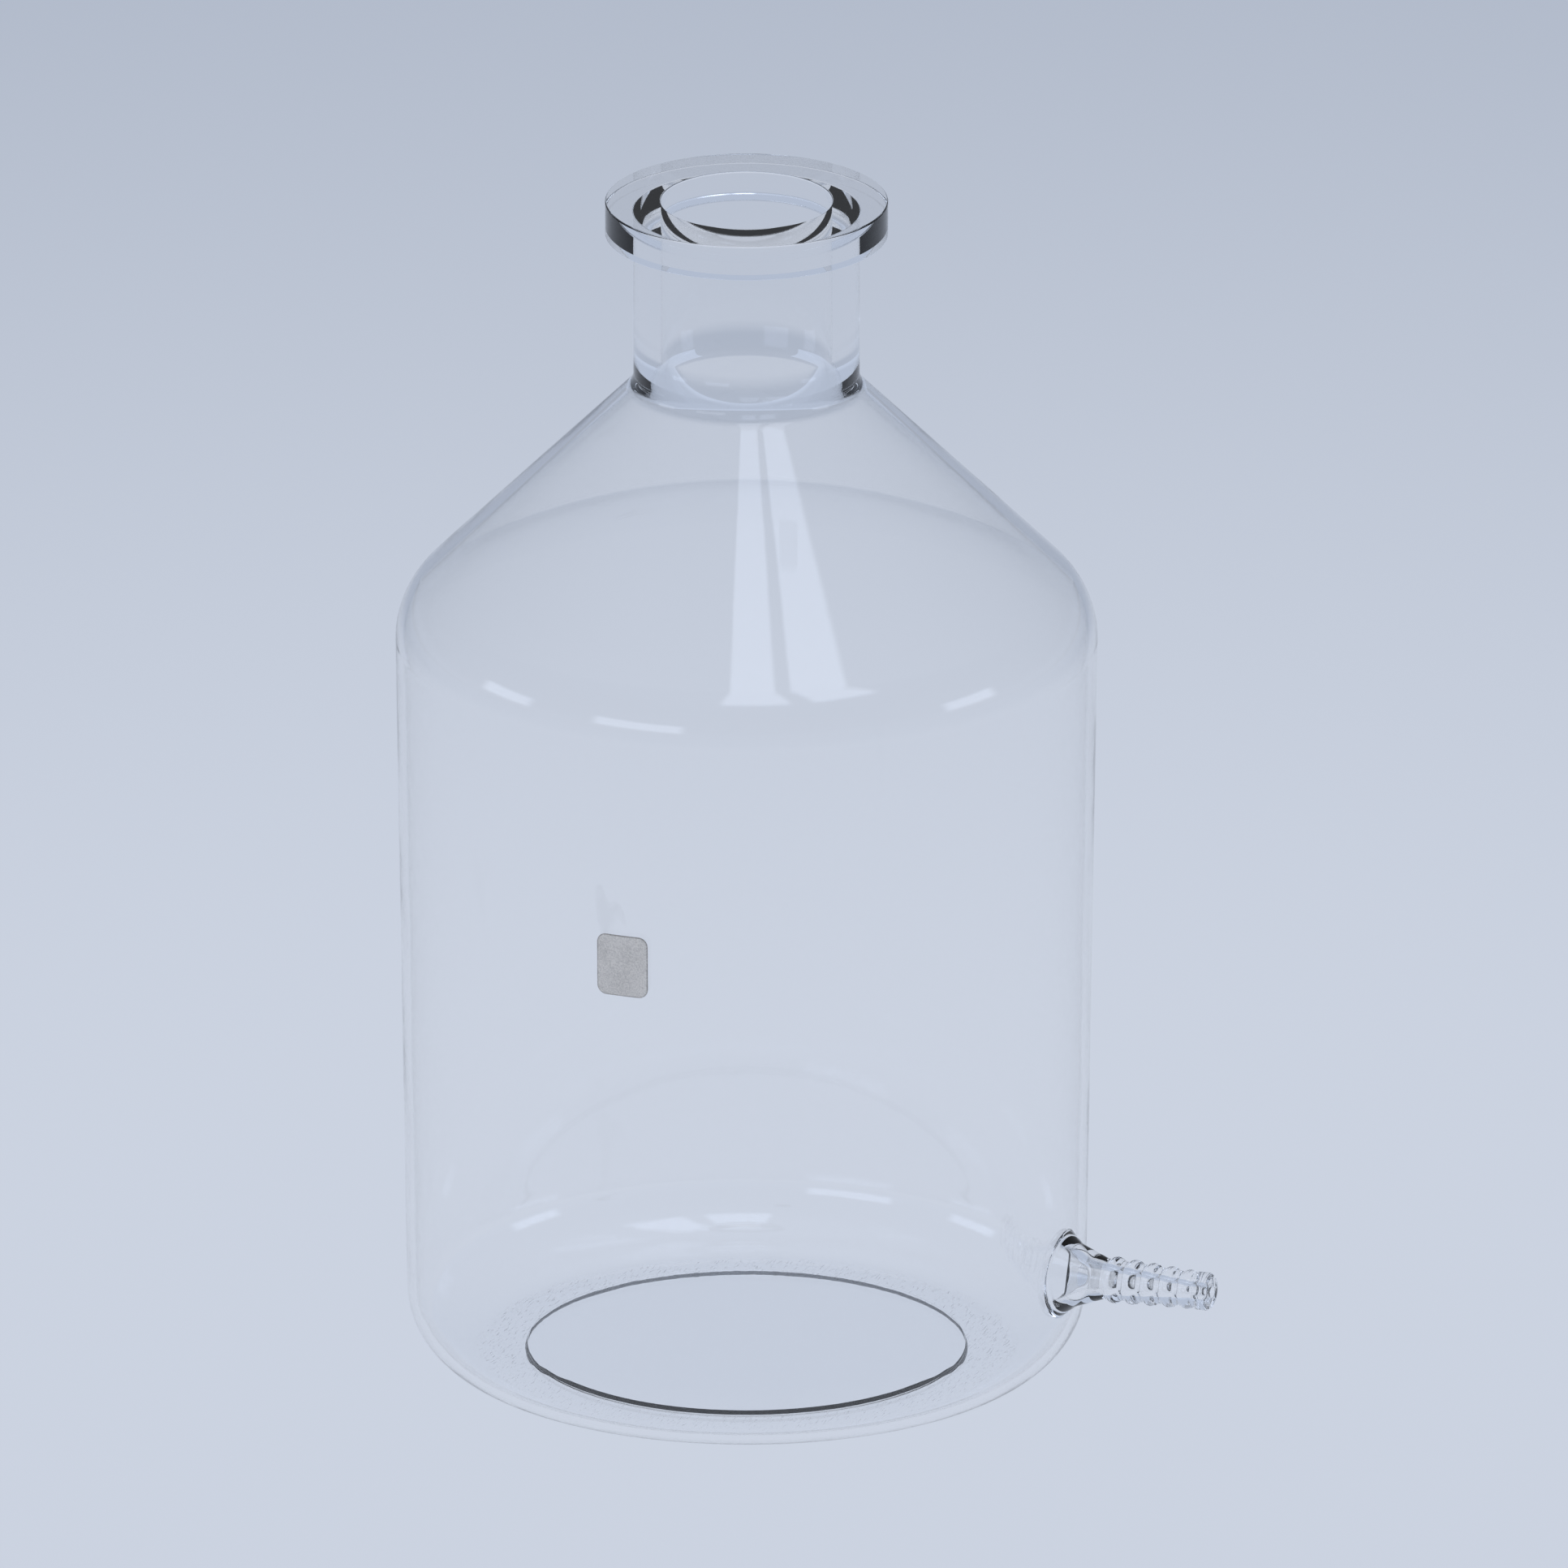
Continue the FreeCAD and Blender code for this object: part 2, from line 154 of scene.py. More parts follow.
class Skin:
    """Collects grids of points with their own normals and welds them into one closed mesh."""

    def __init__(self, name, materials):
        self.name, self.materials = name, materials
        self.points, self.faces, self.normals, self.slots = [], [], [], []
        self.count = 0

    def add_grid(self, points, normals, slot=0, keep=None):
        """Adds a grid P[i, j] with normals N[i, j]; each cell is the quad (i, j), (i, j+1),
        (i+1, j+1), (i+1, j). keep is a mask of the cells that are wanted."""
        rows, columns = points.shape[:2]
        index = np.arange(rows * columns).reshape(rows, columns)
        corners = [index[:-1, :-1], index[:-1, 1:], index[1:, 1:], index[1:, :-1]]
        quads = np.stack(corners, axis=-1)
        wanted = np.ones((rows - 1, columns - 1), bool) if keep is None else keep
        quads = quads[wanted]
        self.points.append(points.reshape(-1, 3))
        self.faces.append(quads + self.count)
        self.normals.append(normals.reshape(-1, 3)[quads])
        self.slots.append(np.full(len(quads), slot))
        self.count += rows * columns

    def build(self):
        """Welds equal points, turns the quads that touch a pole into triangles and sets the
        corner normals."""
        points, faces = np.concatenate(self.points), np.concatenate(self.faces)
        normals, slots = np.concatenate(self.normals), np.concatenate(self.slots)
        cells = np.round(points / WELD_REACH).astype(np.int64)
        _, first, place = np.unique(cells, axis=0, return_index=True, return_inverse=True)
        faces = place.reshape(-1)[faces]
        distinct = faces != np.roll(faces, -1, axis=1)
        whole = distinct.sum(axis=1) > 2
        faces, normals, slots = faces[whole], normals[whole], slots[whole]
        distinct = distinct[whole]
        sizes = distinct.sum(axis=1)
        used, loops = np.unique(faces[distinct], return_inverse=True)
        mesh = bpy.data.meshes.new(self.name)
        mesh.vertices.add(len(used))
        mesh.vertices.foreach_set("co", points[first[used]].astype(np.float32).ravel())
        mesh.loops.add(len(loops))
        mesh.loops.foreach_set("vertex_index", loops.reshape(-1).astype(np.int32))
        mesh.polygons.add(len(faces))
        starts = np.concatenate([[0], np.cumsum(sizes)[:-1]])
        mesh.polygons.foreach_set("loop_start", starts.astype(np.int32))
        mesh.polygons.foreach_set("material_index", slots.astype(np.int32))
        mesh.update(calc_edges=True)
        mesh.validate()
        for material in self.materials:
            mesh.materials.append(material)
        mesh.polygons.foreach_set("use_smooth", np.ones(len(faces), bool))
        mesh.normals_split_custom_set(normals[distinct].astype(np.float32))
        piece = bpy.data.objects.new(self.name, mesh)
        bpy.context.scene.collection.objects.link(piece)
        return piece


def line(start, end, step=LINE_STEP):
    """A straight stretch of a profile from start to end, with its outward normal: the tangent
    (dr, dz) turned a quarter to the right, (dz, -dr)."""
    start, end = np.array(start, float), np.array(end, float)
    length = np.linalg.norm(end - start)
    share = np.linspace(0, 1, max(2, int(round(length / step)) + 1))[:, None]
    tangent = (end - start) / length
    normal = np.broadcast_to([tangent[1], -tangent[0]], (len(share), 2))
    return start + share * (end - start), normal


def arc(centre, radius, first, last):
    """A round stretch of a profile: centre + radius (cos a, sin a) from angle first to last.
    Turning anticlockwise it bulges outwards; clockwise it is hollow."""
    turn = last - first
    angles = first + np.linspace(0, 1, max(3, int(abs(turn) / ARC_STEP) + 2)) * turn
    ray = np.stack([np.cos(angles), np.sin(angles)], axis=1)
    return np.array(centre) + radius * ray, ray * np.sign(turn)


def rounded(before, corner, after, radius):
    """The arc that rounds a profile's corner between two straight runs, tangent to both."""
    before, corner, after = (np.array(p, float) for p in (before, corner, after))
    back = (before - corner) / np.linalg.norm(before - corner)
    ahead = (after - corner) / np.linalg.norm(after - corner)
    half = np.arccos(np.clip(back @ ahead, -1, 1)) / 2
    middle = (back + ahead) / np.linalg.norm(back + ahead)
    centre = corner + middle * radius / sin(half)
    start, end = corner + back * radius / tan(half), corner + ahead * radius / tan(half)
    first, last = (atan2(*(p - centre)[::-1]) for p in (start, end))
    turn = (last - first + pi) % (2 * pi) - pi
    return arc(centre, radius, first, first + turn)


def outline(*corners, step=OUTLINE_STEP):
    """A profile through corners (r, z, rounding): straight runs with an arc at every corner
    that has a rounding. Returns its stretches in order."""
    arcs = [None] * len(corners)
    for i in range(1, len(corners) - 1):
        if corners[i][2]:
            arcs[i] = rounded(
                corners[i - 1][:2], corners[i][:2], corners[i + 1][:2], corners[i][2]
            )
    stretches = []
    for i in range(len(corners) - 1):
        start = arcs[i][0][-1] if arcs[i] else corners[i][:2]
        end = arcs[i + 1][0][0] if arcs[i + 1] else corners[i + 1][:2]
        stretches.append(line(start, end, step))
        if arcs[i + 1]:
            stretches.append(arcs[i + 1])
    return stretches


def upright(points, angles):
    """Turns profile points (r, z) round the bottle's axis: (r cos a, r sin a, z)."""
    r, z = points[:, 0, None], points[:, 1, None]
    return np.stack([r * np.cos(angles), r * np.sin(angles), z + 0 * angles], axis=-1)


def along_outlet(points, angles):
    """Turns profile points (rho, s) round the line of the outlet: (s, rho cos a, rho sin a)."""
    rho, s = points[:, 0, None], points[:, 1, None]
    return np.stack([s + 0 * angles, rho * np.cos(angles), rho * np.sin(angles)], axis=-1)


def full_turn(count):
    """Angles from 0 to a full turn, both ends included."""
    return np.linspace(0, 2 * pi, count + 1)


# Angles round the bottle, with the outlet at the middle one, and round the outlet, from the
# lower corner of the window on the +Y side.
ROUND = np.linspace(-pi, pi, TURNS + 1)
ROUND_OUTLET = full_turn(OUTLET_TURNS) - pi / 4
OUTLET_LIFT = np.array([0, 0, OUTLET_HEIGHT])


def add_turned(skin, stretches, slot=0):
    """Adds the surface that profile stretches sweep round the bottle's axis."""
    for points, normals in stretches:
        skin.add_grid(upright(points, ROUND), upright(normals, ROUND), slot)


def add_outlet_turned(skin, stretches, slot=0):
    """Adds the surface that profile stretches sweep round the outlet's axis."""
    for points, normals in stretches:
        places = along_outlet(points, ROUND_OUTLET) + OUTLET_LIFT
        skin.add_grid(places, along_outlet(normals, ROUND_OUTLET), slot)


# ---------------------------------------------------------------- materials


GLASS_INDEX = 1.473  # borosilicate
SCUFF_SCALE = 2400.0  # scuffs to the metre, across their length
SCUFF_TURN = radians(35.0)
SCUFF_STRETCH = 0.12
SCUFF_PEAKS = (0.52, 0.66)  # where in the noise scuffs begin and are whole
ENAMEL_DARK = (0.40, 0.38, 0.36, 1.0)
ENAMEL_LIGHT = (0.97, 0.93, 0.88, 1.0)
ENAMEL_GRAIN_SCALE = 2600.0
ENAMEL_CLOUD_SCALE = 260.0
ENAMEL_CLOUDING = 0.35
ENAMEL_EDGE = (-0.45 * MM, -0.1 * MM)  # where the edge begins to darken and is darkest
ENAMEL_EDGE_SHADE = -0.45
ENAMEL_RELIEF = 0.04 * MM


def new_material(name):
    """A material with its node tree and its Principled shader."""
    material = bpy.data.materials.new(name)
    material.use_nodes = True
    return material, material.node_tree, material.node_tree.nodes["Principled BSDF"]


def feed(tree, socket, value):
    """Sets a socket to a plain number, or links it to another socket."""
    if isinstance(value, (int, float)):
        socket.default_value = value
    else:
        tree.links.new(value, socket)


def add_math(tree, operation, *values, clamp=False):
    """A Math node on sockets or plain numbers; returns its result."""
    node = tree.nodes.new("ShaderNodeMath")
    node.operation, node.use_clamp = operation, clamp
    for socket, value in zip(node.inputs, values):
        feed(tree, socket, value)
    return node.outputs[0]


def add_noise(tree, coordinates, scale, detail=2.0):
    """Noise of 0 to 1 with so many lumps to the metre."""
    noise = tree.nodes.new("ShaderNodeTexNoise")
    noise.inputs["Detail"].default_value = detail
    tree.links.new(coordinates, noise.inputs["Vector"])
    feed(tree, noise.inputs["Scale"], scale)
    return noise.outputs["Fac"]


def add_soft_step(tree, value, first, last):
    """A smooth step from 0 where value is first to 1 where it is last."""
    step = tree.nodes.new("ShaderNodeMapRange")
    step.interpolation_type = "SMOOTHSTEP"
    for name, end in (("Value", value), ("From Min", first), ("From Max", last)):
        feed(tree, step.inputs[name], end)
    return step.outputs["Result"]


def split_places(tree, places):
    """The x, y and z of places."""
    split = tree.nodes.new("ShaderNodeSeparateXYZ")
    tree.links.new(places, split.inputs["Vector"])
    return split.outputs


def add_bump(tree, height, distance, shader):
    """Tilts the shader's normals by a height times a distance in metres."""
    bump = tree.nodes.new("ShaderNodeBump")
    bump.inputs["Distance"].default_value = distance
    tree.links.new(height, bump.inputs["Height"])
    tree.links.new(bump.outputs["Normal"], shader.inputs["Normal"])


def worked_surface():
    """The node group of a hot-worked surface. Height is a wide drift plus a finer ripple,
    each a noise times its depth in millimetres. Roughness is 0 but on fine scuffs, which are
    the peaks of a stretched noise, and only from the height Worn From to Worn To and beyond,
    getting rougher on the way."""
    group = bpy.data.node_groups.new("worked_surface", "ShaderNodeTree")
    sockets = {
        "Drift Scale": 30.0,
        "Drift Depth": 0.05,
        "Ripple Scale": 200.0,
        "Ripple Depth": 0.005,
        "Worn From": 0.0,
        "Worn To": 0.0,
        "Wear": 0.2,
    }
    for name, value in sockets.items():
        socket = group.interface.new_socket(name, in_out="INPUT", socket_type="NodeSocketFloat")
        socket.default_value = value
    for name in ("Height", "Roughness"):
        group.interface.new_socket(name, in_out="OUTPUT", socket_type="NodeSocketFloat")
    given = group.nodes.new("NodeGroupInput").outputs
    result = group.nodes.new("NodeGroupOutput").inputs
    place = group.nodes.new("ShaderNodeTexCoord").outputs["Object"]
    drift = add_noise(group, place, given["Drift Scale"], 1.0)
    drift = add_math(group, "MULTIPLY", drift, given["Drift Depth"])
    ripple = add_noise(group, place, given["Ripple Scale"])
    height = add_math(group, "MULTIPLY_ADD", ripple, given["Ripple Depth"], drift)
    stretched = group.nodes.new("ShaderNodeMapping")
    stretched.inputs["Rotation"].default_value = (0.0, 0.0, SCUFF_TURN)
    stretched.inputs["Scale"].default_value = (1.0, SCUFF_STRETCH, 1.0)
    group.links.new(place, stretched.inputs["Vector"])
    scuffs = add_noise(group, stretched.outputs["Vector"], SCUFF_SCALE, 3.0)
    scuffs = add_soft_step(group, scuffs, *SCUFF_PEAKS)
    level = split_places(group, place)["Z"]
    worn = add_soft_step(group, level, given["Worn From"], given["Worn To"])
    scuffs = add_math(group, "MULTIPLY", scuffs, worn)
    group.links.new(height, result["Height"])
    group.links.new(add_math(group, "MULTIPLY", scuffs, given["Wear"]), result["Roughness"])
    return group


WORKED_SURFACE = worked_surface()


def make_glass(name, **surface):
    """Clear laboratory glass with the slight unevenness and wear of its own working."""
    material, tree, shader = new_material(name)
    shader.inputs["Base Color"].default_value = (1, 1, 1, 1)
    shader.inputs["Transmission Weight"].default_value = 1.0
    shader.inputs["IOR"].default_value = GLASS_INDEX
    group = tree.nodes.new("ShaderNodeGroup")
    group.node_tree = WORKED_SURFACE
    for socket, value in surface.items():
        group.inputs[socket.replace("_", " ").title()].default_value = value
    add_bump(tree, group.outputs["Height"], MM, shader)
    tree.links.new(group.outputs["Roughness"], shader.inputs["Roughness"])
    return material


def make_seam():
    """Where two stretches of glass are fused there is nothing to see."""
    material, _, shader = new_material("fused_seam")
    shader.inputs["Alpha"].default_value = 0.0
    return material


def make_enamel():
    """Fired enamel: warm light grey with a fine grain and soft clouds, thinner and darker
    along its edge. The edge is where the distance to a rounded rectangle runs out: the length
    of what is left of (|across|, |up|) beyond the corner's centre, less the rounding."""
    material, tree, shader = new_material("fired_enamel")
    place = tree.nodes.new("ShaderNodeTexCoord").outputs["Object"]
    places = split_places(tree, place)
    squares = 0.0
    for axis, middle, half in (("X", 0.0, SPOT_WIDTH / 2), ("Z", SPOT_HEIGHT, SPOT_TALL / 2)):
        reach = add_math(tree, "SUBTRACT", places[axis], middle)
        reach = add_math(tree, "ABSOLUTE", reach)
        beyond = add_math(tree, "SUBTRACT", reach, half - SPOT_ROUNDING)
        beyond = add_math(tree, "MAXIMUM", beyond, 0.0)
        squares = add_math(tree, "MULTIPLY_ADD", beyond, beyond, squares)
    inset = add_math(tree, "SUBTRACT", add_math(tree, "SQRT", squares), SPOT_ROUNDING)
    edge = add_soft_step(tree, inset, *ENAMEL_EDGE)
    grain = add_noise(tree, place, ENAMEL_GRAIN_SCALE, 3.0)
    cloud = add_noise(tree, place, ENAMEL_CLOUD_SCALE)
    tone = add_math(tree, "MULTIPLY_ADD", cloud, ENAMEL_CLOUDING, grain)
    tone = add_math(tree, "MULTIPLY_ADD", edge, ENAMEL_EDGE_SHADE, tone, clamp=True)
    shades = tree.nodes.new("ShaderNodeValToRGB")
    stops = shades.color_ramp.elements
    stops[0].position, stops[0].color = 0.1, ENAMEL_DARK
    stops[1].position, stops[1].color = 0.85, ENAMEL_LIGHT
    tree.links.new(tone, shades.inputs["Fac"])
    tree.links.new(shades.outputs["Color"], shader.inputs["Base Color"])
    rough = add_math(tree, "MULTIPLY_ADD", grain, 0.25, 0.42)
    tree.links.new(rough, shader.inputs["Roughness"])
    add_bump(tree, tone, ENAMEL_RELIEF, shader)
    return material


BODY_GLASS = make_glass("blown_glass", worn_from=0.5 * MM, worn_to=0.0, wear=0.3)
NECK_GLASS = make_glass(
    "drawn_glass", drift_scale=45.0, drift_depth=0.02, ripple_depth=0.002,
    worn_from=MOUTH - 0.5 * MM, worn_to=MOUTH, wear=0.1,
)
OUTLET_GLASS = make_glass(
    "flame_worked_glass", drift_scale=90.0, drift_depth=0.008, ripple_scale=420.0,
    ripple_depth=0.002, worn_from=0.0, worn_to=OUTLET_HEIGHT, wear=0.02,
)
SEAM = make_seam()
ENAMEL = make_enamel()
FUSED = 1  # the slot of a piece's fused faces


# ---------------------------------------------------------------- the bottle's pieces


def outer_wall(z):
    """Outer radius of the leaning wall at height z."""
    return FOOT_RADIUS + LEAN * z


def inner_wall(z):
    """Inner radius of the leaning wall at height z."""
    return outer_wall(z) - WALL


def outer_shoulder(z):
    """Outer radius of the shoulder's cone at height z."""
    return NECK_RADIUS + (NECK_FOOT - z) / SLOPE


def inner_shoulder(z):
    """Inner radius of the shoulder's cone at height z."""
    return outer_shoulder(z) - SHOULDER_INSET


def inner_corner_height():
    """Where the wall's and the shoulder's inner faces would meet."""
    reach = BODY_RADIUS - SHOULDER_INSET + BODY_HEIGHT / SLOPE - FOOT_RADIUS + WALL
    return reach / (LEAN + 1 / SLOPE)


def heel(inner):
    """Centre (r, z) and rounding of the heel's arc: it stands one rounding above the foot or
    the floor, and one rounding inside the leaning wall."""
    rounding = HEEL_ROUNDING - WALL if inner else HEEL_ROUNDING
    z = rounding + (FLOOR_THICKNESS if inner else 0.0)
    face = inner_wall(z) if inner else outer_wall(z)
    return np.array([face - rounding / cos(LEAN_ANGLE), z]), rounding


def low_wall(z, inner):
    """Radius and slope dr/dz of the body at heights z near the outlet: the leaning wall, and
    below its tangent point the heel's arc."""
    centre, rounding = heel(inner)
    drop = np.clip(centre[1] - z, 0, 0.99 * rounding)
    across = np.sqrt(rounding**2 - drop**2)
    bent = z < centre[1] - rounding * sin(LEAN_ANGLE)
    face = inner_wall(z) if inner else outer_wall(z)
    return np.where(bent, centre[0] + across, face), np.where(bent, drop / across, LEAN)


def on_wall(across, z, inner, lift=0.0):
    """Points of the body's face where y = across at heights z, lifted off it by lift, with
    their outward normals: (x, y, -r dr/dz) / r, made one long and turned round inside."""
    r, slope = low_wall(z, inner)
    r = r + lift
    x = np.sqrt(r**2 - across**2)
    normal = np.stack([x / r, across / r, -slope], axis=-1)
    normal /= np.linalg.norm(normal, axis=-1, keepdims=True)
    return np.stack([x, across, z], axis=-1), -normal if inner else normal


def on_circle(radius):
    """A circle round the outlet's axis, as (y, z)."""
    return radius * np.cos(ROUND_OUTLET), OUTLET_HEIGHT + radius * np.sin(ROUND_OUTLET)


# The window in the wall: its heights, and its angles round the bottle.
BAND = OUTLET_HEIGHT + np.linspace(-WINDOW_REACH, WINDOW_REACH, 2 * WINDOW_HALF + 1)
WINDOW = ROUND[TURNS // 2 - WINDOW_HALF : TURNS // 2 + WINDOW_HALF + 1]


def window_rim(inner):
    """The rim of the window, as (y, z), anticlockwise from outside: up the +Y side, over the
    top, down the -Y side and back along the foot."""
    r, _ = low_wall(BAND, inner)
    still = np.ones(len(BAND))
    sides = [
        (r * sin(WINDOW[-1]), BAND),
        (r[-1] * np.sin(WINDOW[::-1]), BAND[-1] * still),
        (r[::-1] * sin(WINDOW[0]), BAND[::-1]),
        (r[0] * np.sin(WINDOW), BAND[0] * still),
    ]
    rim = np.concatenate([np.stack(side)[:, :-1] for side in sides], axis=1)
    return np.concatenate([rim, rim[:, :1]], axis=1)


def add_patch(skin, first, last, inner, rings, slot=0):
    """A patch of the body's face between two closed loops of (y, z): (1 - t) first + t last,
    with every point set onto the face."""
    share = np.linspace(0, 1, rings + 1)[:, None]
    across, z = ((1 - share) * a + share * b for a, b in zip(first, last))
    skin.add_grid(*on_wall(across, z, inner), slot)


def add_band(skin, inner):
    """The stretch of the body's face beside the outlet: whole round the bottle but for the
    window, and in the window a patch from the rim to the hole that the outlet is sealed in."""
    heights = BAND[::-1] if inner else BAND
    r, slope = low_wall(heights, inner)
    normal = np.stack([1 + 0 * slope, -slope], axis=1) * (-1 if inner else 1)
    normal /= np.linalg.norm(normal, axis=1, keepdims=True)
    beside = np.abs(np.arange(TURNS) + 0.5 - TURNS / 2) > WINDOW_HALF
    keep = np.broadcast_to(beside, (len(heights) - 1, TURNS))
    skin.add_grid(upright(np.stack([r, heights], axis=1), ROUND), upright(normal, ROUND), 0, keep)
    rim, hole = window_rim(inner), on_circle(SEAL_RADIUS)
    ends = (hole, rim) if inner else (rim, hole)
    add_patch(skin, *ends, inner, WINDOW_RINGS)


def add_seal(skin, facing_out):
    """The cylinder through the wall's thickness where the outlet is fused in, seen from the
    wall or, facing out, from the outlet."""
    loops = [on_wall(*on_circle(SEAL_RADIUS), inner)[0] for inner in (False, True)]
    normal = along_outlet(np.array([[-1.0, 0.0], [-1.0, 0.0]]), ROUND_OUTLET)
    if facing_out:
        loops, normal = loops[::-1], -normal
    skin.add_grid(np.stack(loops), normal, FUSED)


def add_bend(skin, before, crease, after, rows=5):
    """Rounds the crease between two faces by the curve (1-t)^2 A + 2t(1-t) B + t^2 C of the
    loops before, at and after it. The normal is the cross product of the two directions."""
    t = np.linspace(0, 1, rows + 1)[:, None, None]
    points = (1 - t) ** 2 * before + 2 * t * (1 - t) * crease + t**2 * after
    along = 2 * (1 - t) * (crease - before) + 2 * t * (after - crease)
    ring = points[:, :-1]
    around = np.roll(ring, -1, axis=1) - np.roll(ring, 1, axis=1)
    around = np.concatenate([around, around[:, :1]], axis=1)
    normal = np.cross(around, along)
    normal /= np.linalg.norm(normal, axis=-1, keepdims=True)
    skin.add_grid(points, normal)


def body():
    """The blown body: underside, heel, wall and shoulder turned as one skin, outside and in,
    with the hole for the outlet worked into the wall."""
    skin = Skin("bottle_body_glass", [BODY_GLASS, SEAM])
    recess = FOOT_RADIUS - HEEL_ROUNDING - FOOT_RING_WIDTH
    corner = inner_corner_height()
    centre, rounding = heel(False)
    underside = outline(
        (0, RECESS_DEPTH, 0),
        (recess, RECESS_DEPTH, EDGE_ROUNDING),
        (recess, 0, EDGE_ROUNDING),
        (centre[0], 0, 0),
    )
    outer_heel = arc(centre, rounding, -pi / 2, asin((BAND[0] - centre[1]) / rounding))
    outside = outline(
        (outer_wall(BAND[-1]), BAND[-1], 0),
        (BODY_RADIUS, BODY_HEIGHT, SHOULDER_ROUNDING),
        (outer_shoulder(NECK_SEAM), NECK_SEAM, 0),
    )
    seam = line((outer_shoulder(NECK_SEAM), NECK_SEAM), (inner_shoulder(NECK_SEAM), NECK_SEAM))
    inside = outline(
        (inner_shoulder(NECK_SEAM), NECK_SEAM, 0),
        (inner_wall(corner), corner, SHOULDER_ROUNDING - WALL),
        (inner_wall(BAND[-1]), BAND[-1], 0),
    )
    centre, rounding = heel(True)
    inner_heel = arc(centre, rounding, asin((BAND[0] - centre[1]) / rounding), -pi / 2)
    floor = outline(
        (centre[0], FLOOR_THICKNESS, 0),
        (recess, FLOOR_THICKNESS, EDGE_ROUNDING),
        (recess, FLOOR_THICKNESS + RECESS_DEPTH, EDGE_ROUNDING),
        (0, FLOOR_THICKNESS + RECESS_DEPTH, 0),
    )
    add_turned(skin, [*underside, outer_heel])
    add_band(skin, False)
    add_turned(skin, outside)
    add_turned(skin, [seam], FUSED)
    add_turned(skin, inside)
    add_band(skin, True)
    add_turned(skin, [inner_heel, *floor])
    add_seal(skin, False)
    return skin.build()


def neck():
    """The heavy neck: the top of the shoulder, a hollow rounding and the straight tube."""
    skin = Skin("neck_tube_glass", [NECK_GLASS, SEAM])
    add_turned(skin, [
        line((inner_shoulder(NECK_SEAM), NECK_SEAM), (outer_shoulder(NECK_SEAM), NECK_SEAM)),
        line((NECK_RADIUS, FLANGE_SEAM), (BORE_RADIUS, FLANGE_SEAM)),
    ], FUSED)
    add_turned(skin, outline(
        (outer_shoulder(NECK_SEAM), NECK_SEAM, 0),
        (NECK_RADIUS, NECK_FOOT, NECK_FOOT_ROUNDING),
        (NECK_RADIUS, FLANGE_SEAM, 0),
    ))
    add_turned(skin, outline(
        (BORE_RADIUS, FLANGE_SEAM, 0),
        (BORE_RADIUS, BORE_FOOT, BORE_FOOT_ROUNDING),
        (inner_shoulder(NECK_SEAM), NECK_SEAM, 0),
    ))
    return skin.build()


def rim():
    """The tooled rim: a flat-topped flange on the last of the neck."""
    skin = Skin("rim_flange_glass", [NECK_GLASS, SEAM])
    foot = MOUTH - FLANGE_THICKNESS
    add_turned(skin, [line((BORE_RADIUS, FLANGE_SEAM), (NECK_RADIUS, FLANGE_SEAM))], FUSED)
    add_turned(skin, outline(
        (NECK_RADIUS, FLANGE_SEAM, 0),
        (NECK_RADIUS, foot, FLANGE_ROUNDING),
        (FLANGE_RADIUS, foot, FLANGE_ROUNDING),
        (FLANGE_RADIUS, MOUTH, FLANGE_ROUNDING),
        (BORE_RADIUS, MOUTH, FLANGE_ROUNDING),
        (BORE_RADIUS, FLANGE_SEAM, 0),
    ))
    return skin.build()


def outlet_loop(radius, reach):
    """A closed loop round the outlet's axis, at its own radius and reach for every angle."""
    across, up = radius * np.cos(ROUND_OUTLET), radius * np.sin(ROUND_OUTLET)
    return np.stack([reach + 0 * across, across, OUTLET_HEIGHT + up], axis=-1)


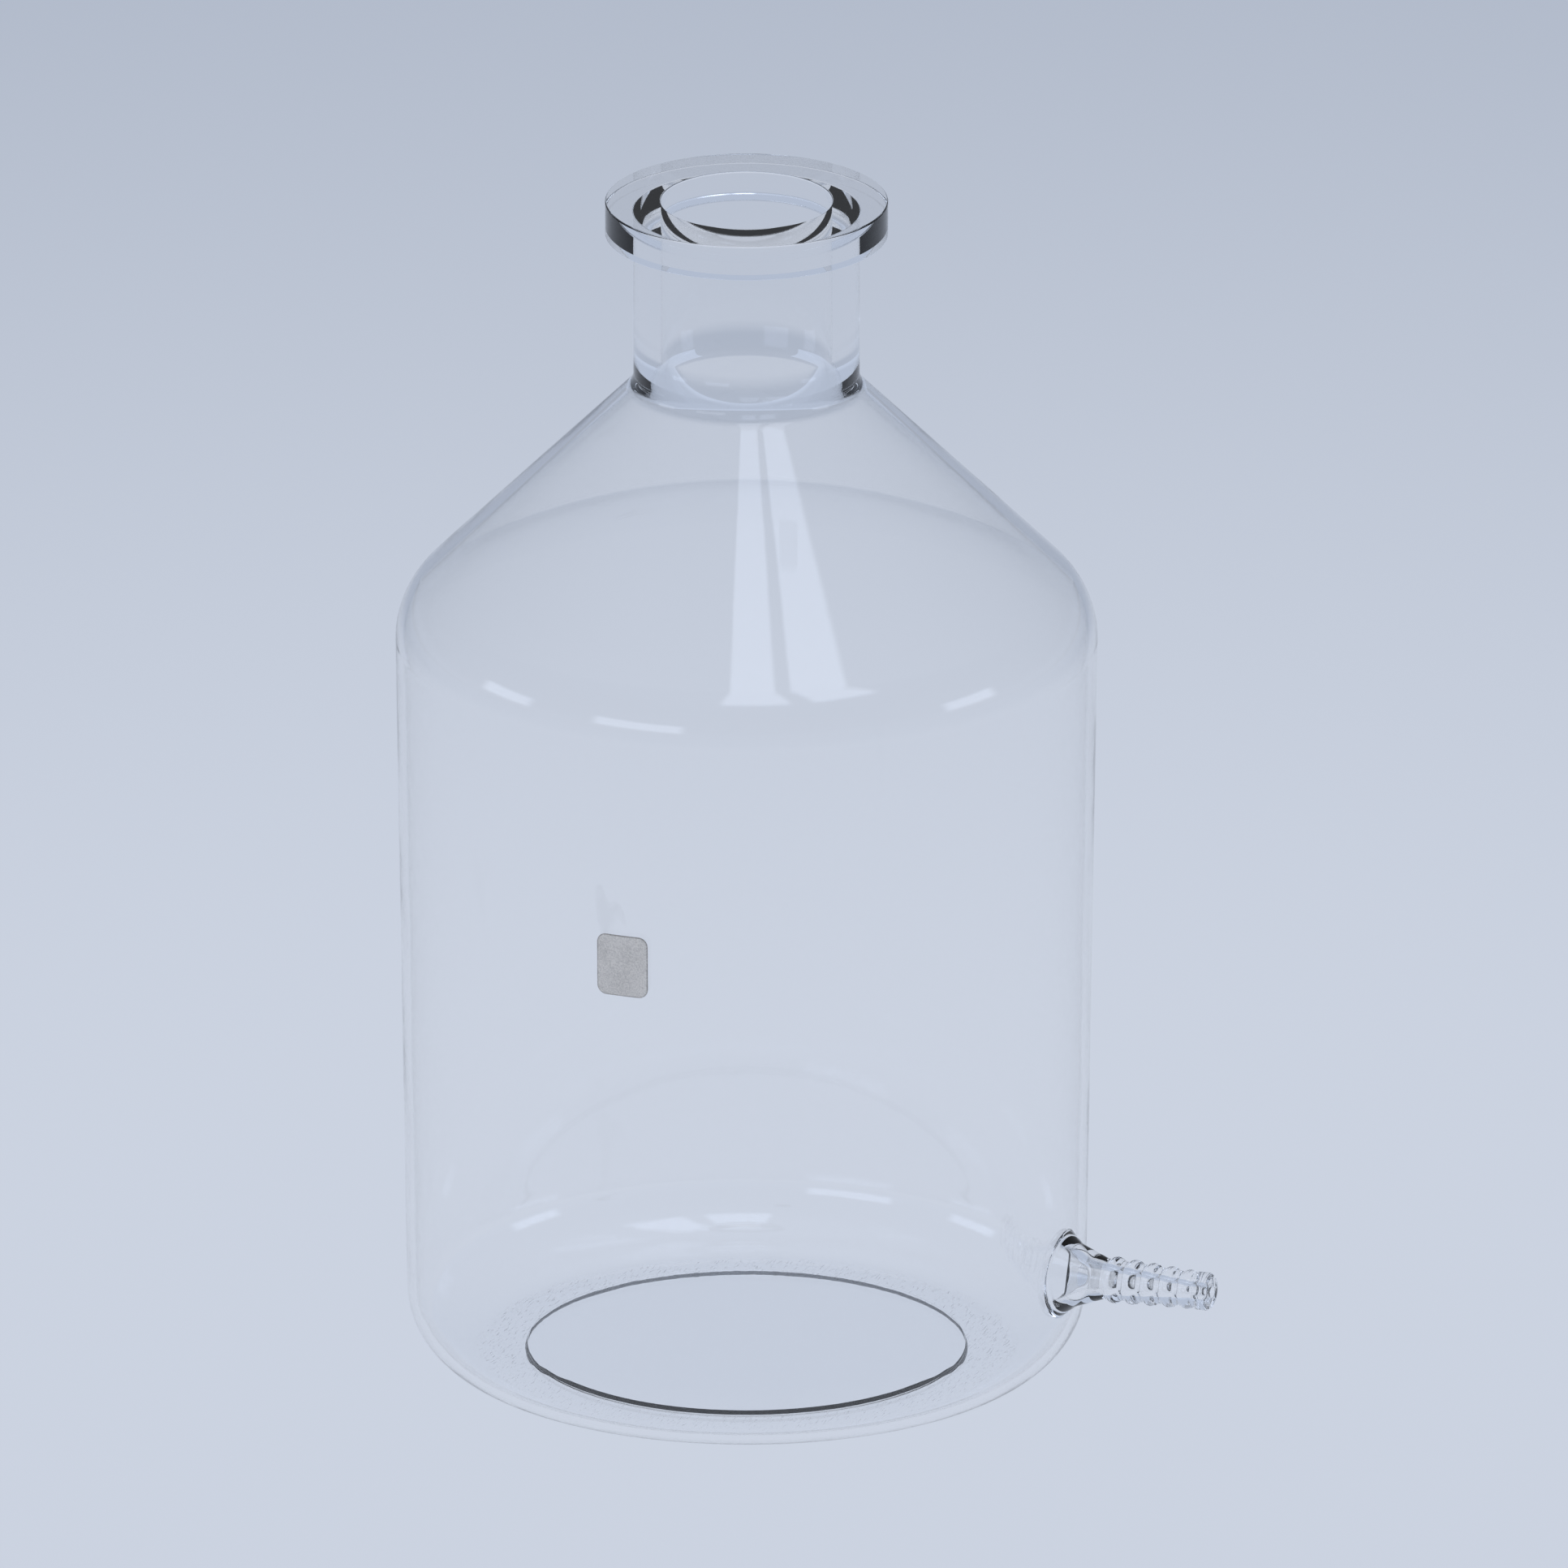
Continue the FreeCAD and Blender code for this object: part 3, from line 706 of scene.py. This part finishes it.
def outlet_root():
    """The flared root of the outlet: a patch of the wall, two cones outside, and the passage
    inside, from a wide mouth through a throat to the tail."""
    skin = Skin("outlet_boss_glass", [OUTLET_GLASS, SEAM])
    start, end = WALL_FACE - ROOT_BITE, WALL_FACE + ROOT_LENGTH
    slope = (ROOT_END_RADIUS - ROOT_RADIUS) / (end - start)
    radius = np.full(len(ROUND_OUTLET), ROOT_RADIUS)
    for _ in range(12):  # closes in on where the cone meets the wall
        wall, _ = on_wall(*on_circle(radius), False)
        radius = ROOT_RADIUS + (wall[:, 0] - start) * slope
    reach = wall[:, 0]
    crease = outlet_loop(radius, reach)
    on_face = on_circle(radius + CREASE_REACH)
    on_cone = outlet_loop(radius + slope * CREASE_REACH, reach + CREASE_REACH)
    add_seal(skin, True)
    add_patch(skin, on_circle(SEAL_RADIUS), on_face, False, 2)
    add_bend(skin, on_wall(*on_face, False)[0], crease, on_cone)
    last = end - ROOT_END_MARGIN
    last_radius = ROOT_RADIUS + (last - start) * slope
    share = np.linspace(0, 1, 5)[:, None, None]
    cone = (1 - share) * on_cone + share * outlet_loop(last_radius, last)
    normal = np.array([[1.0, -slope]]) / np.hypot(1.0, slope)
    normals = np.broadcast_to(along_outlet(normal, ROUND_OUTLET), cone.shape)
    skin.add_grid(cone, normals)
    add_outlet_turned(skin, outline(
        (last_radius, last, 0),
        (ROOT_END_RADIUS, end, ROOT_END_ROUNDING),
        (TAIL_ROOT_RADIUS, TAIL_START, 0),
        step=OUTLET_STEP,
    ))
    seam = line((TAIL_ROOT_RADIUS, TAIL_START), (TAIL_PASSAGE_RADIUS, TAIL_START))
    add_outlet_turned(skin, [seam], FUSED)
    mouth = WALL_FACE - WALL
    mouth_slope = (MOUTH_PASSAGE_RADIUS - THROAT_RADIUS) / (WALL + THROAT_REACH)
    lip = MOUTH_PASSAGE_RADIUS - MOUTH_LIP * mouth_slope
    add_outlet_turned(skin, outline(
        (TAIL_PASSAGE_RADIUS, TAIL_START, 0),
        (THROAT_RADIUS, WALL_FACE + THROAT_REACH, THROAT_ROUNDING),
        (lip, mouth + MOUTH_LIP, 0),
        step=OUTLET_STEP,
    ))
    edge, beyond = on_circle(MOUTH_PASSAGE_RADIUS), on_circle(MOUTH_PASSAGE_RADIUS + MOUTH_LIP)
    add_bend(
        skin,
        outlet_loop(lip, mouth + MOUTH_LIP),
        on_wall(*edge, True)[0],
        on_wall(*beyond, True)[0],
    )
    add_patch(skin, beyond, on_circle(SEAL_RADIUS), True, 3)
    return skin.build()


def tail_radius(s):
    """Outer radius of the hose tail at reach s: the tapering core and the five round beads,
    melted together as k ln(sum of exp(r / k)), which leaves a small hollow beside each bead."""
    share = (s - TAIL_START) / (TIP_START - TAIL_START)
    core = TAIL_ROOT_RADIUS + share * (TAIL_END_RADIUS - TAIL_ROOT_RADIUS)
    number = np.arange(BEAD_COUNT)[:, None]
    offset = s - TAIL_START - BEAD_LEAD - number * BEAD_PITCH
    outer = BEAD_RADIUS - number * BEAD_STEP
    bead = outer - BEAD_CURVE + np.sqrt(np.clip(BEAD_CURVE**2 - offset**2, 0, None))
    forms = np.vstack([core, bead])
    return core + BEAD_MELT * np.log(np.exp((forms - core) / BEAD_MELT).sum(axis=0))


def hose_tail():
    """The beaded hose tail, its rounded tip, and the tapering passage down to the tip bore."""
    skin = Skin("hose_tail_glass", [OUTLET_GLASS, SEAM])
    foot = TIP_START - 2 * TIP_STEP
    s = np.linspace(TAIL_START, foot, TAIL_ROWS)
    radius = tail_radius(s)
    radius[0] = TAIL_ROOT_RADIUS
    slope = np.gradient(radius, s)
    normal = np.stack([1 / np.hypot(1, slope), -slope / np.hypot(1, slope)], axis=1)
    seam = line((TAIL_PASSAGE_RADIUS, TAIL_START), (TAIL_ROOT_RADIUS, TAIL_START))
    add_outlet_turned(skin, [seam], FUSED)
    add_outlet_turned(skin, [(np.stack([radius, s], axis=1), normal)])
    add_outlet_turned(skin, outline(
        (radius[-1], foot, 0),
        (TAIL_END_RADIUS, TIP_START, TIP_STEP),
        (TIP_RADIUS, TIP_START, TIP_STEP),
        (TIP_RADIUS, TIP_END, TIP_ROUNDING),
        (TIP_BORE_RADIUS, TIP_END, TIP_STEP),
        (TIP_BORE_RADIUS, TIP_END - TIP_BORE_LENGTH, THROAT_ROUNDING),
        (TAIL_PASSAGE_RADIUS, TAIL_START, 0),
        step=OUTLET_STEP,
    ))
    return skin.build()


def spot_edge(angles):
    """The marking spot's outline as (across, up) round its middle: the ray at each angle meets
    an upright side, a level side or a corner's arc. Also the outline's normals."""
    half = np.array([SPOT_WIDTH / 2, SPOT_TALL / 2])
    ray = np.stack([np.cos(angles), np.sin(angles)], axis=1)
    middle = np.sign(ray) * (half - SPOT_ROUNDING)
    reach = (ray * middle).sum(axis=1)
    span = reach**2 - (middle**2).sum(axis=1) + SPOT_ROUNDING**2
    corner = reach + np.sqrt(np.maximum(span, 0))
    with np.errstate(divide="ignore"):
        side, top = (half / np.abs(ray)).T
    on_side = side * np.abs(ray[:, 1]) <= half[1] - SPOT_ROUNDING
    on_top = top * np.abs(ray[:, 0]) <= half[0] - SPOT_ROUNDING
    length = np.where(on_side, side, np.where(on_top, top, corner))
    edge = ray * length[:, None]
    normal = (edge - np.clip(edge, SPOT_ROUNDING - half, half - SPOT_ROUNDING)) / SPOT_ROUNDING
    return edge, normal


def marking_spot():
    """The fired enamel spot: a rounded rectangle that follows the wall on the -Y side, with a
    soft edge, and a back that is sunk a little into the glass it is fused to."""
    skin = Skin("marking_spot_enamel", [ENAMEL])
    edge, out = spot_edge(full_turn(SPOT_TURNS))

    def place(inset, share, lift, tilt):
        """Points at share of the edge pulled in by inset, lifted off the wall, with normals
        tilted from the wall's own, 1, to the edge's, 0."""
        flat = (edge[None] - out[None] * inset[:, None, None]) * share[:, None, None]
        across, z = flat[..., 0], SPOT_HEIGHT + flat[..., 1]
        r = outer_wall(z) + lift[:, None]
        points = np.stack([across, -np.sqrt(r**2 - across**2), z], axis=-1)
        wall = np.stack([across / r, -np.sqrt(1 - (across / r) ** 2), -LEAN + 0 * z], axis=-1)
        side = np.stack([out[:, 0], 0 * out[:, 0], out[:, 1]], axis=-1)
        rise = np.sin(tilt)[:, None, None]
        normals = rise * wall + np.cos(tilt)[:, None, None] * side
        skin.add_grid(points, normals / np.linalg.norm(normals, axis=-1, keepdims=True))

    turn = np.linspace(0, pi / 2, 6)
    soft = SPOT_THICKNESS
    shares = np.linspace(0, 1, 13)
    still = np.ones(13)
    place(0 * still, shares, -SPOT_SINK * still, -pi / 2 * still)
    place(np.zeros(2), np.ones(2), np.array([-SPOT_SINK, 0.0]), np.zeros(2))
    place(soft * (1 - np.cos(turn)), np.ones(6), soft * np.sin(turn), turn)
    place(soft * still, shares[::-1], SPOT_THICKNESS * still, pi / 2 * still)
    return skin.build()


# ---------------------------------------------------------------- the stage


AZIMUTH = radians(21.0)
ELEVATION = radians(19.4)
VIEW_WIDTH = 406.36 * MM
CAMERA_DISTANCE = 1.5
AIM = Vector((9.06 * MM, 3.48 * MM, 156.4 * MM))
TO_VIEWER = Vector((sin(AZIMUTH), -cos(AZIMUTH), 0.0))


def add_camera():
    """A level camera with parallel sight lines, turned towards the outlet's side."""
    camera = bpy.data.cameras.new("camera")
    camera.type = "ORTHO"
    camera.ortho_scale = VIEW_WIDTH
    camera.clip_start, camera.clip_end = 0.01, 100.0
    holder = bpy.data.objects.new("camera", camera)
    back = TO_VIEWER * cos(ELEVATION) + Vector((0, 0, sin(ELEVATION)))
    holder.location = AIM + back * CAMERA_DISTANCE
    holder.rotation_mode = "QUATERNION"
    holder.rotation_quaternion = (-back).to_track_quat("-Z", "Y")
    bpy.context.scene.collection.objects.link(holder)
    bpy.context.scene.camera = holder


# A pale glowing floor with a painted pool of light: brightest round the bottle, a little dimmer
# far off.
FLOOR_NEAR = (0.6, 0.65, 0.75, 1.0)
FLOOR_FAR = (0.4, 0.45, 0.55, 1.0)
FLOOR_FADE = (0.2, 1.5)  # metres from the bottle's axis where the dimming begins and is whole
FLOOR_RADIUS = 20.0
FLOOR_DROP = 0.2 * MM
FLOOR_RINGS = 12
FLOOR_TURNS = 96


def add_blend(tree, share, first, second):
    """The colour between two colours at a share of 0 to 1."""
    blend = tree.nodes.new("ShaderNodeMix")
    blend.data_type = "RGBA"
    factor, *_, start, end = blend.inputs[:8]
    tree.links.new(share, factor)
    start.default_value, end.default_value = first, second
    return blend.outputs[2]


def make_floor_light_pool():
    """A pale floor whose glow is a painted pool of light: brightest round the bottle's axis and
    softly dimmer with the distance from it."""
    material, tree, shader = new_material("pale_floor")
    place = tree.nodes.new("ShaderNodeTexCoord").outputs["Object"]
    length = tree.nodes.new("ShaderNodeVectorMath")
    length.operation = "LENGTH"
    tree.links.new(place, length.inputs[0])
    # painted pool of light: the floor's glow fades from near to far with the distance from the
    # bottle's axis
    fade = add_soft_step(tree, length.outputs["Value"], *FLOOR_FADE)
    shade = add_blend(tree, fade, FLOOR_NEAR, FLOOR_FAR)
    shader.inputs["Base Color"].default_value = (0, 0, 0, 1)
    shader.inputs["Specular IOR Level"].default_value = 0.0
    shader.inputs["Roughness"].default_value = 1.0
    shader.inputs["Emission Strength"].default_value = 1.0
    tree.links.new(shade, shader.inputs["Emission Color"])
    return material


def add_floor():
    """A wide flat disc just under the bottle: rings round its middle, whose radii are the
    floor's radius times t^3."""
    skin = Skin("floor", [make_floor_light_pool()])
    radii = FLOOR_RADIUS * np.linspace(1, 0, FLOOR_RINGS) ** 3
    angles = full_turn(FLOOR_TURNS)
    points = np.stack([radii, np.full(FLOOR_RINGS, -FLOOR_DROP)], axis=1)
    normals = np.tile([[0.0, 1.0]], (FLOOR_RINGS, 1))
    skin.add_grid(upright(points, angles), upright(normals, angles))
    skin.build()


# Soft lamps round the bottle: each from and to so many degrees round from the front (-Y) towards
# +X, and from and to so many degrees above the floor. The first two are an overhead window.
LAMPS = [
    ((10, 40), (50, 75)),
    ((50, 80), (50, 75)),
    ((-75, -55), (5, 15)),
    ((-30, 0), (5, 15)),
    ((90, 110), (5, 15)),
]
LAMP_LIGHT = 1.6
LAMP_EDGE = 4.0  # degrees of softness
STUDIO_LIGHT, STUDIO_COLOUR = 0.26, (0.85, 0.9, 1.0, 1.0)  # what reflections meet
BACKDROP_LIGHT, BACKDROP_COLOUR = 0.63, (0.7, 0.8, 1.0, 1.0)  # what is seen through glass
GLOWS = [(30.0, 65.0, 0.16), (10.0, 2.0, 0.1)]  # where one starts and is whole, and its light
LIGHT_PATHS = 7  # how many times light is followed on through glass


def add_lamp(tree, spans):
    """How much a direction lies inside a lamp: the product, over its angle round and its angle
    above, of a soft step up at the low end and one down at the high end."""
    inside = 1.0
    for angle, (low, high) in spans:
        for end, edge in ((low, LAMP_EDGE), (high, -LAMP_EDGE)):
            step = add_soft_step(tree, angle, end - edge / 2, end + edge / 2)
            inside = add_math(tree, "MULTIPLY", step, inside)
    return inside


def add_world():
    """A dim studio with a pale horizon, an overhead window of two panes and three small
    lamps, all worked out from the direction alone. What is seen straight or through glass has
    a paler backdrop than what is reflected."""
    world = bpy.data.worlds.new("studio")
    world.use_nodes = True
    tree = world.node_tree
    direction = tree.nodes.new("ShaderNodeTexCoord").outputs["Generated"]
    x, y, z = split_places(tree, direction)
    front = add_math(tree, "MULTIPLY", y, -1.0)
    round_from_front = add_math(tree, "DEGREES", add_math(tree, "ARCTAN2", x, front))
    above = add_math(tree, "DEGREES", add_math(tree, "ARCSINE", z))
    path = tree.nodes.new("ShaderNodeLightPath").outputs
    clear = add_math(tree, "MAXIMUM", path["Is Camera Ray"], path["Is Transmission Ray"])
    light = add_math(tree, "MULTIPLY_ADD", clear, BACKDROP_LIGHT - STUDIO_LIGHT, STUDIO_LIGHT)
    for around, heights in LAMPS:
        inside = add_lamp(tree, ((round_from_front, around), (above, heights)))
        light = add_math(tree, "MULTIPLY_ADD", inside, LAMP_LIGHT, light)
    for first, last, strength in GLOWS:
        glow = add_soft_step(tree, above, first, last)
        light = add_math(tree, "MULTIPLY_ADD", glow, strength, light)
    background = tree.nodes["Background"]
    colour = add_blend(tree, clear, STUDIO_COLOUR, BACKDROP_COLOUR)
    tree.links.new(colour, background.inputs["Color"])
    tree.links.new(light, background.inputs["Strength"])
    bpy.context.scene.world = world


def place(piece, node, slot):
    """Puts a piece in the place of its node, on the bottle's one body."""
    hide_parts(node)
    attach(piece, "root")


place(body(), "bottle_body", "body_glass")
place(neck(), "neck_tube", "neck_glass")
place(rim(), "rim_flange", "neck_glass")
place(outlet_root(), "outlet_boss", "outlet_glass")
place(hose_tail(), "hose_tail", "outlet_glass")
place(marking_spot(), "marking_spot", "enamel")
add_floor()
add_world()
add_camera()
scene = bpy.context.scene
scene.view_settings.view_transform = "Standard"
for limit in ("max_bounces", "glossy_bounces", "transmission_bounces"):
    setattr(scene.cycles, limit, LIGHT_PATHS)
